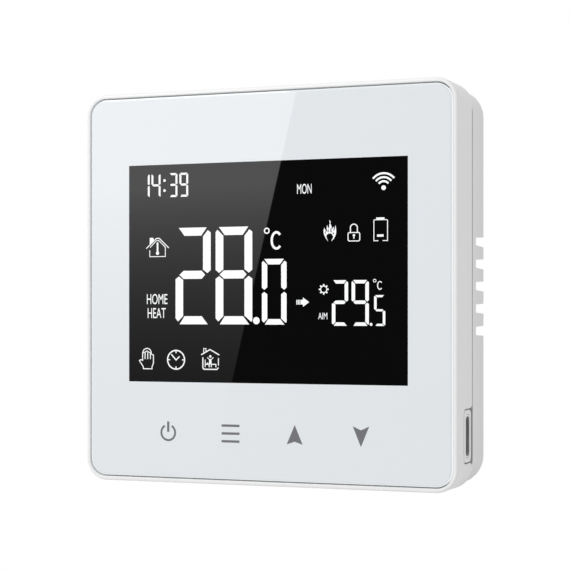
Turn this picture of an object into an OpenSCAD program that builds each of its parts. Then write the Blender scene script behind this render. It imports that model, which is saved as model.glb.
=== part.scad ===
// Wall thermostat for a heating system: a glass front unit that pulls off a base fixed to the wall.
// Millimetres. The origin is the centre of the rear face, on the wall. The front faces -Y, and +Z is up.

/* [Housings] */
// Width and height of the square front
face_w = 86; // [84:0.5:96]
// Depth of the front housing, from the glass to the parting line
front_depth = 11.5; // [11.3:0.1:14]
// Depth of the rear housing, from the parting line to the wall
rear_depth = 10.3; // [10.1:0.1:14]
// Corner radius of the front housing
front_corner_r = 4.8; // [4.5:0.1:7]
// Corner radius of the rear housing
rear_corner_r = 6.3; // [4.5:0.1:8]
// Rounding of the front housing's front edge
edge_r = 0.6; // [0.3:0.1:0.9]
// How far the rear housing is set in from the front housing
part_step = 0.1; // [0:0.1:0.6]
// Shadow gap between the two housings
part_gap = 0.4; // [0.3:0.05:0.5]
// Wall of both housings
wall = 1.8; // [1.4:0.1:2.2]
// Rear wall, which lies on the wall of the room
back_wall = 2; // [1.8:0.1:2.4]

/* [Glass] */
// Width of the housing's rim around the glass
rim_w = 0.9; // [0.9:0.1:1.6]
// Gap between the rim and the glass
glass_gap = 0.3; // [0.1:0.05:0.5]
// Thickness of the glass
glass_t = 2; // [1.5:0.1:2.2]
// Corner radius of the glass
glass_corner_r = 3.6; // [2.5:0.1:5]
// Ground chamfer on the glass's front edge
glass_chamfer = 0.3; // [0.2:0.05:0.6]
// Thickness of the white ink on the glass's back
ink_t = 0.1; // [0.05:0.05:0.2]
// Thickness of the double-sided tape behind the ink
tape_t = 0.2; // [0.1:0.05:0.3]
// Width of the tape
tape_w = 3; // [2:0.5:4]

/* [Display] */
// Width of the display window
window_w = 64.6; // [58:0.2:66]
// Height of the display window
window_h = 47.8; // [40:0.2:49]
// Height of the window's middle above the middle of the front
window_z = 3; // [2:0.2:4]
// Edge of the display cell that the ink covers
cell_border = 1.9; // [1:0.1:2.4]
// Thickness of each of the display's two glasses
cell_glass_t = 1.1; // [0.7:0.1:1.1]
// Thickness of each polarising film
film_t = 0.2; // [0.1:0.05:0.25]
// Contact edge that the front display glass has below the rear one
contact_edge = 3; // [2.5:0.1:3.2]
// Thickness of the backlight's light guide
guide_t = 2.4; // [1.8:0.1:2.5]
// Wall of the frame that holds the display
holder_wall = 1.4; // [1:0.1:1.6]
// Number of backlight lamps
lamp_count = 4; // [2:1:6]

/* [Touch keys] */
// Distance between neighbouring touch keys
key_pitch = 14.9; // [12:0.1:15.5]
// Height of the touch keys' row, below the middle of the front
key_drop = 31.7; // [31.2:0.1:32]
// Outer radius of a touch spring
spring_r = 3.6; // [2.5:0.1:4]
// Wire radius of a touch spring
spring_wire_r = 0.3; // [0.2:0.05:0.4]
// Turns of a touch spring
spring_turns = 5; // [3:1:7]

/* [Circuit boards] */
// Thickness of both circuit boards
board_t = 1.6; // [1.2:0.2:1.6]
// Gap between the main board and the housing's side walls
board_margin = 3.2; // [3:0.1:4]
// Distance of the board screws from the board's left and right edges
board_screw_side = 8; // [7:0.5:8.5]
// Distance of the board screws from the board's top and bottom edges
board_screw_end = 3; // [2.8:0.1:3.2]
// Shank radius of the board screws
board_screw_r = 1; // [0.8:0.1:1.1]
// Width of the relay board
relay_board_w = 50; // [48:1:50]

/* [Charging socket] */
// Height of the charging socket, below the middle of the front
socket_drop = 31.6; // [31:0.1:32]
// Depth of the charging socket's middle behind the front
socket_depth = 7.8; // [7.6:0.1:7.9]
// Height of the charging socket's shell
shell_h = 8.94; // [8.4:0.02:9]
// Thickness of the charging socket's shell, across its opening
shell_w = 3.2; // [3:0.02:3.2]
// Length of the shell, into the housing
shell_length = 6.6; // [6.5:0.1:8]
// Height of the plate around the charging socket
plate_h = 11; // [11:0.1:12]
// Distance of the plate's front edge behind the front
plate_depth = 4.8; // [4:0.1:5]

/* [Air slots] */
// Number of air slots on each side
slot_count = 5; // [3:2:7]
// Distance between neighbouring air slots
slot_pitch = 4.8; // [4.4:0.1:5.2]
// Length of an air slot, from the wall forwards
slot_length = 7; // [4:0.1:7]
// Height of an air slot at its front end
slot_h_front = 1.75; // [1.2:0.05:2.2]
// Height of an air slot at the wall
slot_h_back = 2.2; // [1.4:0.05:2.6]
// How far an air slot reaches into the rear wall, past the side wall
slot_reach = 3; // [2:0.1:3.4]

/* [Wall fixing] */
// Distance between the two fixing slots of a standard wall box
fixing_spacing = 60; // [60:0.2:61]
// Width of a fixing slot
fixing_slot_w = 4.2; // [3.6:0.1:4.6]
// Length of a fixing slot, end to end
fixing_slot_l = 7; // [5:0.1:8]
// Width of the opening that the wires come through
entry_w = 28; // [20:0.5:32]
// Height of that opening
entry_h = 17; // [12:0.5:18]
// Lower edge of that opening, below the middle
entry_drop = 36; // [35:0.5:36.5]

/* [Relay and terminals] */
// Number of wire terminals
terminal_count = 3; // [2:1:3]
// Distance between neighbouring terminals
terminal_pitch = 5; // [5:0.02:5.2]
// Depth of the terminal block, from its wire side to its back
terminal_z = 8; // [7.5:0.1:8.5]
// Radius of a terminal screw's thread
terminal_screw_r = 1.2; // [1:0.05:1.25]
// Radius of a terminal screw's head
terminal_head_r = 1.8; // [1.6:0.05:1.85]
// Travel of a clamp, from open to tight
clamp_travel = 1.2; // [1:0.05:1.2]
// Width of the relay, as it lies on its board
relay_w = 20.3; // [18:0.1:20.4]
// Height of the relay, as it lies on its board
relay_h = 11; // [10:0.1:11.2]
// Depth of the relay, off its board
relay_d = 5.2; // [4.5:0.1:5.4]
// Number of pins that join the two boards
link_count = 8; // [6:1:8]

/* [Battery] */
// Width of the lithium cell
battery_w = 40; // [34:0.5:41]
// Height of the lithium cell
battery_h = 22; // [18:0.5:22]
// Thickness of the lithium cell
battery_t = 5; // [4:0.1:5.4]
// Radius of a battery lead
lead_r = 0.6; // [0.4:0.05:0.7]

/* [Clearances] */
// Gap between pieces that move apart
gap = 0.3; // [0.25:0.01:0.35]
// Gap between pieces that are pushed together
fit = 0.1; // [0.05:0.01:0.12]
// Running gap of a screw in its thread
run = 0.05; // [0.03:0.01:0.08]

/* [Hidden] */
$fn = 96;
bite = 1; // how far a cutting shape runs past the face it cuts

// Depths are measured backwards from the front plane of the glass.
total_depth = front_depth + rear_depth;
front_end = front_depth - part_gap / 2;
rear_start = front_depth + part_gap / 2;
floor_d = total_depth - back_wall;

// The glass and what lies behind it
glass_w = face_w - 2 * (rim_w + glass_gap);
ink_back = glass_t + ink_t;
ledge_front = ink_back + tape_t;
ledge_t = 1.5;
ledge_back = ledge_front + ledge_t;
recess_r = glass_corner_r + glass_gap;

// The display
cell_w = window_w + 2 * cell_border;
cell_h = window_h + 2 * cell_border;
window_at = [0, window_z];
film_back = ink_back + film_t;
front_glass_back = film_back + cell_glass_t;
rear_glass_back = front_glass_back + cell_glass_t;
rear_film_back = rear_glass_back + film_t;
guide_back = rear_film_back + guide_t;
sheet_t = 0.1;
holder_floor = guide_back + sheet_t;
holder_floor_t = 0.8;
edge_at = [0, window_z - contact_edge / 2];
opening_w = cell_w + 2 * fit;
opening_h = cell_h + contact_edge + 2 * fit;
strip_h = 2; // thickness of the contact strip, along Z
strip_z = window_z - cell_h / 2 - contact_edge / 2;
lamp_size = [1.1, 3];
strip_board_t = 0.8;
guide_w = cell_w - lamp_size[0] - strip_board_t;

// The main board stands on the charging socket's depth.
inner_w = face_w - 2 * wall;
board_front = socket_depth + shell_w / 2;
board_back = board_front + board_t;
board_w = inner_w - 2 * board_margin;
boss_r = board_screw_r + 1.5;
screw_head_r = board_screw_r + 0.9;
screw_head_h = 1.3;
screw_length = 4;
board_screw_x = board_w / 2 - board_screw_side;
board_screw_z = board_w / 2 - board_screw_end;
board_screw_places = [for (sx = [-1, 1], sz = [-1, 1]) [sx * board_screw_x, sz * board_screw_z]];
parts_top = board_screw_z - screw_head_r - gap; // the highest that a part on the board's back reaches
key_shift = -0.35; // the row of keys lies a little left of the middle
key_x = [for (i = [-1.5:1:1.5]) key_shift + i * key_pitch];
spring_hole_r = spring_r + 0.6;
chip_t = 1;
driver_size = [14, 10];
driver_at = window_at + [driver_size[0] / 2, 0];
processor_size = [10, 10];
processor_side = 9; // from the main board's right edge
processor_at = [board_w / 2 - processor_side - processor_size[0] / 2, key_shift - 6];
touch_chip_size = [6, 5];
touch_chip_at = [key_shift - touch_chip_size[0] / 2, -key_drop];
crystal_size = [7, 2];
crystal_at = processor_at - [0, processor_size[1] / 2 + crystal_size[1] / 2 + gap];

// The charging socket, in the housing's right side
socket_z = -socket_drop;
shell_wall = 0.3;
plate_t = 1.2;
plate_inset = 0.25;
mouth_inset = 0.3;
plate_x = face_w / 2 - plate_inset;
mouth_x = plate_x - mouth_inset;
plate_corner_r = 1.2;
corner_nick = [0.8, 0.4]; // how far a relief reaches from each rear corner of the plate
tongue_t = 0.7;
tongue_w = 6.2;
tongue_inset = 1;

// The snap tongues at the top and bottom of the front housing
snap_w = 6;
snap_x = key_pitch; // between the touch springs
snap_t = 1.2;
snap_nib = 0.3;
snap_reach = 4;
snap_nib_l = 1.2;
rear_w = face_w - 2 * part_step;
rear_inner_w = rear_w - 2 * wall;
snap_z = rear_inner_w / 2 - gap - snap_nib;

// The front housing's lip, which reaches into the rear housing and closes the shadow gap
lip_w = rear_inner_w - 2 * gap;
lip_r = rear_corner_r - wall - gap;
lip_t = 1;
lip_foot = 2;
lip_reach = 1.5;

// The relay board and its standoffs
standoff = 0.6;
relay_board_back = floor_d - standoff;
relay_board_front = relay_board_back - board_t;
relay_board_top = 22;
relay_board_bottom = -17;
relay_board_at = [0, (relay_board_top + relay_board_bottom) / 2];
relay_screw_inset = 2.8;
relay_screw_head_h = 1.2;
relay_screw_length = 1.6 + standoff; // below the relay board
relay_screw_places = [for (sx = [-1, 1], z = [relay_board_bottom + relay_screw_inset,
    relay_board_top - relay_screw_inset]) [sx * (relay_board_w / 2 - relay_screw_inset), z]];

// The terminal block stands on the rear wall, in a notch of the relay board.
clamp_w = 3.4;
clamp_z = 4.4;
clamp_top_t = 0.9;
clamp_floor_t = 0.7;
strip_t = 0.6;
clamp_window = clamp_travel + 2 * gap + strip_t;
clamp_h = clamp_top_t + clamp_window + clamp_floor_t;
head_recess = 0.2;
head_h = 1.4;
head_seat_gap = 0.1;
seat_t = 0.6;
block_h = head_recess + head_h + head_seat_gap + seat_t + gap + clamp_h + clamp_travel + gap;
block_front = floor_d - block_h;
head_front = block_front + head_recess;
head_back = head_front + head_h;
seat_front = head_back + head_seat_gap;
cavity_front = seat_front + seat_t;
clamp_front = cavity_front + gap + clamp_travel; // with the clamp open
screw_end = clamp_front + clamp_top_t;
strip_front = screw_end + gap;
block_wall = 0.8;
block_w = terminal_count * terminal_pitch + 2 * block_wall;
block_top = -0.5;
block_side = 3.5; // from the relay
relay_at = [gap + (relay_w - relay_board_w) / 2, block_top - relay_h / 2 + gap];
block_at = [relay_at[0] + relay_w / 2 + block_side + block_w / 2, block_top - terminal_z / 2];
strip_w = 2.6;
strip_foot = 2;
strip_tail = 3;
slot_w = 0.6;
slot_d = 0.7;
function terminal_at(i) = block_at + [(i - (terminal_count + 1) / 2) * terminal_pitch, 0];

// The link between the boards
link_pitch = 2.54;
link_pin_w = 0.64;
link_w = 2.5;
link_base_t = 2;
link_l = link_count * link_pitch;
link_at = [-10, block_top + strip_tail + gap + link_w / 2];
link_base_back = board_back + link_base_t;
link_socket_front = link_base_back + gap;
link_pin_end = relay_board_front - 2 * gap;
function link_x(i) = link_at[0] + (i - (link_count - 1) / 2) * link_pitch;

diode_size = [4.6, 2.6];
diode_h = 2.2;
diode_at = link_at + [(link_l + diode_size[0]) / 2 + gap, 0];
capacitor_r = 2.5;
capacitor_h = 5.2;
capacitor_at = [relay_board_w / 2 - gap - capacitor_r, link_at[1]];

// The battery and its plug, on the back of the main board
battery_side = 4; // from the main board's left edge
battery_at = [-board_w / 2 + battery_side + battery_w / 2, parts_top - battery_h / 2];
battery_corner_r = 1.5;
pad_t = 0.4;
pad_inset = 4;
battery_front = board_back + pad_t;
plug_size = [4.4, 4, 3.2];
plug_socket_w = 5.6;
plug_at = battery_at + [battery_w - plug_socket_w, -battery_h - plug_size[1]] / 2 - [0, gap];
plug_socket_h = 1.2;
plug_front = board_back + plug_socket_h;

// The room sensor reaches back to the air slots.
sensor_at = [board_w / 2 - 1.4, 0];
sensor_reach = 5.4;
sensor_leg_r = 0.25;
sensor_legs = 1.27;
bead_r = 1.1;
bead_l = 2.4;

radio_size = [18, 20];
radio_side = 5; // from the main board's right edge
radio_at = [board_w / 2 - radio_side, parts_top] - radio_size / 2;
radio_t = 0.8;
shield_size = [15, 12];
shield_drop = 3; // leaves the aerial end of the radio board free
shield_t = 0.3;
shield_h = 2.2;

// Puts a flat shape, drawn as seen from the front, between two depths.
module layer(from, to)
    translate([0, to - total_depth, 0]) rotate([90, 0, 0]) linear_extrude(to - from) children();

module box(at, size, from, to)
    layer(from, to) translate(at) square(size, center = true);

module rod(at, r, from, to)
    layer(from, to) translate(at) circle(r);

module rounded(w, h, r) {
    square([w - 2 * r, h], center = true);
    square([w, h - 2 * r], center = true);
    for (sx = [-1, 1], sz = [-1, 1])
        translate([sx * (w / 2 - r), sz * (h / 2 - r)]) circle(r);
}

// A flat oval, the outline of a charging socket, drawn standing on its end
module oval(h, w) {
    square([w, h - w], center = true);
    for (s = [-1, 1])
        translate([0, s * (h - w) / 2]) circle(w / 2);
}

// Puts a flat shape, drawn with depth along its x, between two places along X.
module sideways(from, to)
    translate([from, -total_depth, 0]) rotate([90, 0, 90]) linear_extrude(to - from) children();

// A tube along a path, with an even number of flat sides
tube_sides = 8;
function unit(v) = v / norm(v);
function ring(p, t, r, ref) = let (u = unit(cross(t, ref)), v = cross(t, u))
    [for (k = [0:tube_sides - 1])
        p + r * (cos(360 * k / tube_sides) * u + sin(360 * k / tube_sides) * v)];
module tube(path, r, ref) {
    n = len(path);
    rings = [for (i = [0:n - 1])
        ring(path[i], unit(path[min(i + 1, n - 1)] - path[max(i - 1, 0)]), r, ref)];
    sides = [for (i = [0:n - 2], k = [0:tube_sides - 1])
        let (a = i * tube_sides + k, b = i * tube_sides + (k + 1) % tube_sides)
        each [[a, a + tube_sides, b], [b, a + tube_sides, b + tube_sides]]];
    polyhedron([for (q = rings) each q], concat(
        [[for (k = [0:tube_sides - 1]) k]], sides,
        [[for (k = [tube_sides - 1:-1:0]) (n - 1) * tube_sides + k]]));
}

// --- the front unit -------------------------------------------------------------------------

module snap_tongues()
    for (sx = [-1, 1], s = [-1, 1]) {
        box([sx * snap_x, s * (snap_z - snap_t / 2)], [snap_w, snap_t],
            ledge_back - bite, front_end + snap_reach);
        box([sx * snap_x, s * (inner_w / 2 + snap_z) / 2], [snap_w, inner_w / 2 - snap_z + fit],
            ledge_back - bite, front_end - lip_foot);
        box([sx * snap_x, s * (snap_z + snap_nib / 2)], [snap_w, snap_nib],
            front_end + snap_reach - snap_nib_l, front_end + snap_reach);
    }

module corner_nicks()
    for (s = [-1, 1])
        translate([front_end, socket_z + s * plate_h / 2]) square(2 * corner_nick, center = true);

module plate_outline(h, from, to) {
    translate([from + plate_corner_r, -h / 2]) square([to - from - plate_corner_r, h]);
    translate([from, -h / 2 + plate_corner_r]) square([plate_corner_r, h - 2 * plate_corner_r]);
    for (s = [-1, 1])
        translate([from + plate_corner_r, s * (h / 2 - plate_corner_r)]) circle(plate_corner_r);
}

module front_housing()
    color("white") {
        difference() {
            union() {
                hull()
                    for (a = [0:18:90])
                        layer(edge_r * (1 - sin(a)), edge_r + bite)
                            rounded(face_w - 2 * edge_r * (1 - cos(a)),
                                face_w - 2 * edge_r * (1 - cos(a)),
                                front_corner_r - edge_r * (1 - cos(a)), $fn = 48);
                layer(edge_r, front_end) rounded(face_w, face_w, front_corner_r);
                layer(front_end - lip_foot, front_end + lip_reach) rounded(lip_w, lip_w, lip_r);
            }
            layer(-bite, ledge_front)
                rounded(glass_w + 2 * glass_gap, glass_w + 2 * glass_gap, recess_r);
            box(edge_at, [opening_w, opening_h], ledge_front - bite, ledge_back + bite);
            layer(ledge_back, front_end - lip_foot)
                rounded(inner_w, inner_w, front_corner_r - wall);
            layer(front_end - lip_foot - bite, front_end + lip_reach + bite)
                rounded(lip_w - 2 * lip_t, lip_w - 2 * lip_t, lip_r - lip_t);
            for (x = key_x)
                rod([x, -key_drop], spring_hole_r, ledge_front - bite, ledge_back + bite);
            sideways(lip_w / 2 - lip_t - bite, face_w / 2 + bite) translate([0, socket_z])
                plate_outline(plate_h + 2 * fit, plate_depth - fit, front_end + lip_reach + bite);
            sideways(face_w / 2 - wall - bite, face_w / 2 + bite) corner_nicks();
        }
        for (p = board_screw_places)
            difference() {
                rod(p, boss_r, ledge_back - ledge_t / 2, board_front);
                rod(p, board_screw_r + run, board_front - screw_length, board_front + bite);
            }
        snap_tongues();
    }

module glass_panel()
    color([0.93, 0.95, 0.96]) {
        hull() {
            layer(0, glass_chamfer)
                rounded(glass_w - 2 * glass_chamfer, glass_w - 2 * glass_chamfer,
                    glass_corner_r - glass_chamfer, $fn = 48);
            layer(glass_chamfer, 2 * glass_chamfer)
                rounded(glass_w, glass_w, glass_corner_r, $fn = 48);
        }
        layer(glass_chamfer, glass_t) rounded(glass_w, glass_w, glass_corner_r);
    }

module glass_ink()
    color("white") difference() {
        layer(glass_t, ink_back)
            rounded(glass_w - 2 * fit, glass_w - 2 * fit, glass_corner_r - fit);
        box(window_at, [window_w, window_h], glass_t - bite, ink_back + bite);
    }

module glass_tape()
    color("dimgray") difference() {
        layer(ink_back, ledge_front)
            rounded(glass_w - 2 * fit, glass_w - 2 * fit, glass_corner_r - fit);
        layer(ink_back - bite, ledge_front + bite)
            rounded(glass_w - 2 * tape_w, glass_w - 2 * tape_w, glass_corner_r - fit);
    }

module front_polariser()
    color([0.06, 0.06, 0.07]) box(window_at, [cell_w, cell_h], ink_back, film_back);

module display_front_glass()
    color([0.1, 0.11, 0.12])
        box(edge_at, [cell_w, cell_h + contact_edge], film_back, front_glass_back);

module display_rear_glass()
    color([0.14, 0.15, 0.16]) box(window_at, [cell_w, cell_h], front_glass_back, rear_glass_back);

module rear_polariser()
    color([0.2, 0.2, 0.22]) box(window_at, [cell_w, cell_h], rear_glass_back, rear_film_back);

module light_guide()
    color([0.9, 0.95, 1]) box(window_at + [(cell_w - guide_w) / 2, 0], [guide_w, cell_h],
        rear_film_back, guide_back);

module reflector_sheet()
    color("white") box(window_at, [cell_w, cell_h], guide_back, holder_floor);

module lamp_strip()
    color("seagreen") box(window_at - [(cell_w - strip_board_t) / 2, 0], [strip_board_t, cell_h],
        rear_film_back, guide_back);

module backlight_lamps()
    color("khaki")
        for (i = [0:lamp_count - 1])
            box(window_at + [strip_board_t + (lamp_size[0] - cell_w) / 2,
                (i - (lamp_count - 1) / 2) * cell_h / lamp_count], lamp_size,
                rear_film_back, guide_back);

module display_holder()
    color("whitesmoke") difference() {
        box(edge_at, [opening_w, opening_h] + 2 * [holder_wall, holder_wall],
            ledge_back, board_front);
        box(edge_at, [opening_w, opening_h], ledge_back - bite, rear_film_back);
        box(window_at, [opening_w, cell_h + 2 * fit], rear_film_back - bite, holder_floor);
        box([0, strip_z], [opening_w, strip_h + 2 * fit], rear_film_back - bite,
            board_front + bite);
        box(window_at, [opening_w, cell_h], holder_floor + holder_floor_t, board_front + bite);
    }

module contact_strip()
    color("lightpink") box([0, strip_z], [window_w, strip_h], front_glass_back, board_front);

module main_board()
    color("darkgreen") difference() {
        layer(board_front, board_back)
            rounded(board_w, board_w, front_corner_r - wall);
        for (p = board_screw_places)
            rod(p, board_screw_r + fit, board_front - bite, board_back + bite);
    }

// A pan-head screw that points to the front, its head on the back of the main board
module board_screws()
    color("silver")
        for (p = board_screw_places)
            difference() {
                union() {
                    rod(p, board_screw_r, board_front - screw_length + gap, board_back);
                    rod(p, screw_head_r, board_back, board_back + screw_head_h);
                }
                box(p, [slot_w, 2 * screw_head_r + bite], board_back + screw_head_h - slot_d,
                    board_back + screw_head_h + bite);
            }

spring_steps = 10; // rings of the swept wire in each turn
module touch_springs()
    color("silver")
        for (x = key_x)
            tube([for (i = [0:spring_turns * spring_steps])
                let (a = 360 * i / spring_steps, f = i / (spring_turns * spring_steps),
                    from = ink_back + spring_wire_r + run, to = board_front - spring_wire_r - run)
                [x + (spring_r - spring_wire_r) * cos(a), from + (to - from) * f - total_depth,
                    -key_drop + (spring_r - spring_wire_r) * sin(a)]],
                spring_wire_r, [0, 1, 0]);

module driver_chip()
    color([0.15, 0.15, 0.15]) box(driver_at, driver_size, board_front - chip_t, board_front);

module processor_chip()
    color([0.12, 0.12, 0.12]) box(processor_at, processor_size, board_back, board_back + chip_t);

module touch_chip()
    color([0.12, 0.12, 0.12]) box(touch_chip_at, touch_chip_size, board_back, board_back + chip_t);

module clock_crystal()
    color("silver") box(crystal_at, crystal_size, board_back, board_back + chip_t);

module radio_board()
    color("navy") box(radio_at, radio_size, board_back, board_back + radio_t);

module radio_shield()
    color("lightgray") difference() {
        box(radio_at - [0, shield_drop], shield_size, board_back + radio_t,
            board_back + radio_t + shield_h);
        box(radio_at - [0, shield_drop], shield_size - 2 * [shield_t, shield_t],
            board_back + radio_t - bite, board_back + radio_t + shield_h - shield_t);
    }

module charging_shell()
    color("silver") difference() {
        sideways(mouth_x - shell_length, mouth_x) translate([socket_depth, socket_z])
            oval(shell_h, shell_w);
        sideways(mouth_x - shell_length + shell_wall, mouth_x + bite)
            translate([socket_depth, socket_z])
            oval(shell_h - 2 * shell_wall, shell_w - 2 * shell_wall);
    }

module charging_tongue()
    color([0.1, 0.1, 0.1])
        sideways(mouth_x - shell_length + shell_wall, mouth_x - tongue_inset)
            translate([socket_depth, socket_z]) square([tongue_t, tongue_w], center = true);

module socket_plate()
    color("whitesmoke") difference() {
        sideways(plate_x - plate_t, plate_x) translate([0, socket_z])
            plate_outline(plate_h, plate_depth, front_end);
        sideways(plate_x - plate_t - bite, plate_x + bite)
            translate([socket_depth, socket_z]) oval(shell_h + 2 * fit, shell_w + 2 * fit);
        sideways(plate_x - plate_t - bite, plate_x + bite) corner_nicks();
    }

module battery_cell()
    color("lightsteelblue") layer(battery_front, battery_front + battery_t) translate(battery_at)
        rounded(battery_w, battery_h, battery_corner_r);

module battery_pad()
    color("dimgray") box(battery_at, [battery_w, battery_h] - 2 * [pad_inset, pad_inset],
        board_back, battery_front);

module battery_socket()
    color("ivory") box(plug_at, [plug_socket_w, plug_size[1]], board_back, plug_front);

module battery_plug()
    color("white") box(plug_at, [plug_size[0], plug_size[1]], plug_front, plug_front + plug_size[2]);

// Each lead leaves the cell's right side and bows round into the plug's right side.
lead_steps = 12;
lead_bow = 4;
lead_drop = 6; // below the middle of the cell
lead_pitch = 2;
function bow(a, b, c, d, t) = a * pow(1 - t, 3) + 3 * b * t * pow(1 - t, 2)
    + 3 * c * t * t * (1 - t) + d * pow(t, 3);
module battery_leads()
    for (s = lead_pitch / 2 * [-1, 1])
        color(s < 0 ? "black" : "red") {
            start = [battery_at[0] + battery_w / 2, battery_front + battery_t / 2 - total_depth,
                battery_at[1] - lead_drop + s];
            end = [plug_at[0] + plug_size[0] / 2, plug_front + plug_size[2] / 2 - total_depth,
                plug_at[1] - s];
            stub = [lead_r, 0, 0];
            out = stub + [lead_bow + s, 0, 0];
            tube([start, for (i = [0:lead_steps])
                bow(start + stub, start + out, end + out, end + stub, i / lead_steps), end],
                lead_r, [0, 1, 0]);
        }

module link_base()
    color([0.1, 0.1, 0.1]) box(link_at, [link_l, link_w], board_back, link_base_back);

module link_pins()
    color("gold")
        for (i = [0:link_count - 1])
            box([link_x(i), link_at[1]], [link_pin_w, link_pin_w], link_base_back, link_pin_end);

module room_sensor()
    color("silver")
        for (s = [-1, 1])
            rod(sensor_at + [0, s * sensor_legs / 2], sensor_leg_r, board_back,
                board_back + sensor_reach);

module sensor_bead()
    color("saddlebrown") rod(sensor_at, bead_r, board_back + sensor_reach,
        board_back + sensor_reach + bead_l);

// --- the wall base --------------------------------------------------------------------------

module air_slots()
    for (side = [-1, 1], i = [0:slot_count - 1])
        translate([side * (rear_w / 2 - (wall + slot_reach) / 2), 0,
            (i - (slot_count - 1) / 2) * slot_pitch])
            sideways(-(wall + slot_reach) / 2 - (side < 0 ? bite : 0),
                (wall + slot_reach) / 2 + (side > 0 ? bite : 0))
                polygon([[total_depth - slot_length, -slot_h_front / 2],
                    [total_depth + bite, -slot_h_back / 2], [total_depth + bite, slot_h_back / 2],
                    [total_depth - slot_length, slot_h_front / 2]]);

module fixing_slot(w, l) {
    square([l - w, w], center = true);
    for (s = [-1, 1])
        translate([s * (l - w) / 2, 0]) circle(w / 2);
}

module rear_housing()
    color("gainsboro") {
        difference() {
            layer(rear_start, total_depth) rounded(rear_w, rear_w, rear_corner_r);
            layer(rear_start - bite, floor_d)
                rounded(rear_inner_w, rear_inner_w, rear_corner_r - wall);
            for (p = relay_screw_places)
                rod(p, board_screw_r + run, floor_d - bite, relay_board_back + relay_screw_length);
            air_slots();
            for (s = [-1, 1])
                layer(floor_d - bite, total_depth + bite) translate([s * fixing_spacing / 2, 0])
                    fixing_slot(fixing_slot_w, fixing_slot_l);
            box([0, entry_h / 2 - entry_drop], [entry_w, entry_h], floor_d - bite,
                total_depth + bite);
            for (sx = [-1, 1], s = [-1, 1])
                box([sx * snap_x, s * rear_inner_w / 2], [snap_w + 2 * gap, 2 * snap_nib],
                    front_end + snap_reach - snap_nib_l - gap, front_end + snap_reach + gap);
        }
        for (p = relay_screw_places)
            difference() {
                rod(p, boss_r, relay_board_back, floor_d);
                rod(p, board_screw_r + run, relay_board_back - bite, floor_d + bite);
            }
    }

module relay_board()
    color("darkgreen") difference() {
        box(relay_board_at, [relay_board_w, relay_board_top - relay_board_bottom],
            relay_board_front, relay_board_back);
        box([block_at[0], (block_top + relay_board_bottom) / 2 - bite + gap],
            [block_w + 2 * gap, block_top - relay_board_bottom + 2 * bite],
            relay_board_front - bite, relay_board_back + bite);
        for (p = relay_screw_places)
            rod(p, board_screw_r + fit, relay_board_front - bite, relay_board_back + bite);
    }

module relay_board_screws()
    color("silver")
        for (p = relay_screw_places)
            difference() {
                union() {
                    rod(p, board_screw_r, relay_board_front,
                        relay_board_back + relay_screw_length - gap);
                    rod(p, screw_head_r, relay_board_front - relay_screw_head_h, relay_board_front);
                }
                box(p, [2 * screw_head_r + bite, slot_w],
                    relay_board_front - relay_screw_head_h - bite,
                    relay_board_front - relay_screw_head_h + slot_d);
            }

module relay()
    color("royalblue") box(relay_at, [relay_w, relay_h], relay_board_front - relay_d,
        relay_board_front);

module relay_diode()
    color([0.1, 0.1, 0.1]) box(diode_at, diode_size, relay_board_front - diode_h, relay_board_front);

module smoothing_capacitor()
    color("slategray") rod(capacitor_at, capacitor_r, relay_board_front - capacitor_h,
        relay_board_front);

module link_socket()
    color([0.1, 0.1, 0.1]) difference() {
        box(link_at, [link_l, link_w], link_socket_front, relay_board_front);
        for (i = [0:link_count - 1])
            box([link_x(i), link_at[1]], (link_pin_w + 2 * gap) * [1, 1],
                link_socket_front - bite, relay_board_front - gap);
    }

module terminal_block()
    color("limegreen") difference() {
        box(block_at, [block_w, terminal_z], block_front, floor_d);
        for (i = [1:terminal_count]) {
            at = terminal_at(i);
            rod(at, terminal_head_r + gap, block_front - bite, seat_front);
            rod(at, terminal_screw_r + run, seat_front - bite, cavity_front + bite);
            box(at, [clamp_w + 2 * gap, clamp_z + 2 * gap], cavity_front, floor_d + bite);
            box(at - [0, terminal_z / 2], [clamp_w - 2 * gap, terminal_z], strip_front,
                floor_d - gap);
            box(at + [0, terminal_z / 2], [strip_w + 2 * fit, terminal_z], strip_front - fit,
                strip_front + strip_t + fit);
        }
    }

// A fixed tongue that the wire is pressed against, with a foot soldered to the relay board
module terminal_strips()
    color("silver")
        for (i = [1:terminal_count]) {
            x = terminal_at(i)[0];
            low = block_at[1] - clamp_z / 2;
            high = block_top + strip_tail;
            box([x, (low + high) / 2], [strip_w, high - low], strip_front, strip_front + strip_t);
            box([x, high - strip_foot / 2], [strip_w, strip_foot], strip_front,
                relay_board_front);
        }

module terminal_screw(i)
    color("silver") difference() {
        union() {
            rod(terminal_at(i), terminal_head_r, head_front, head_back);
            rod(terminal_at(i), terminal_screw_r, head_front, screw_end);
        }
        box(terminal_at(i), [2 * terminal_head_r + bite, slot_w], head_front - bite,
            head_front + slot_d);
    }

// A loop that the screw pulls forwards, so that its floor lifts the wire against the strip
module wire_clamp(i)
    color("silver") difference() {
        box(terminal_at(i), [clamp_w, clamp_z - 2 * gap], clamp_front, clamp_front + clamp_h);
        box(terminal_at(i), [clamp_w - 2 * gap, clamp_z + bite], clamp_front + clamp_top_t,
            clamp_front + clamp_top_t + clamp_window);
        rod(terminal_at(i), terminal_screw_r + run, clamp_front - bite,
            clamp_front + clamp_top_t + bite);
    }

module terminal_screw_1() terminal_screw(1);
module terminal_screw_2() terminal_screw(2);
module terminal_screw_3() terminal_screw(3);
module wire_clamp_1() wire_clamp(1);
module wire_clamp_2() wire_clamp(2);
module wire_clamp_3() wire_clamp(3);

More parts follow.
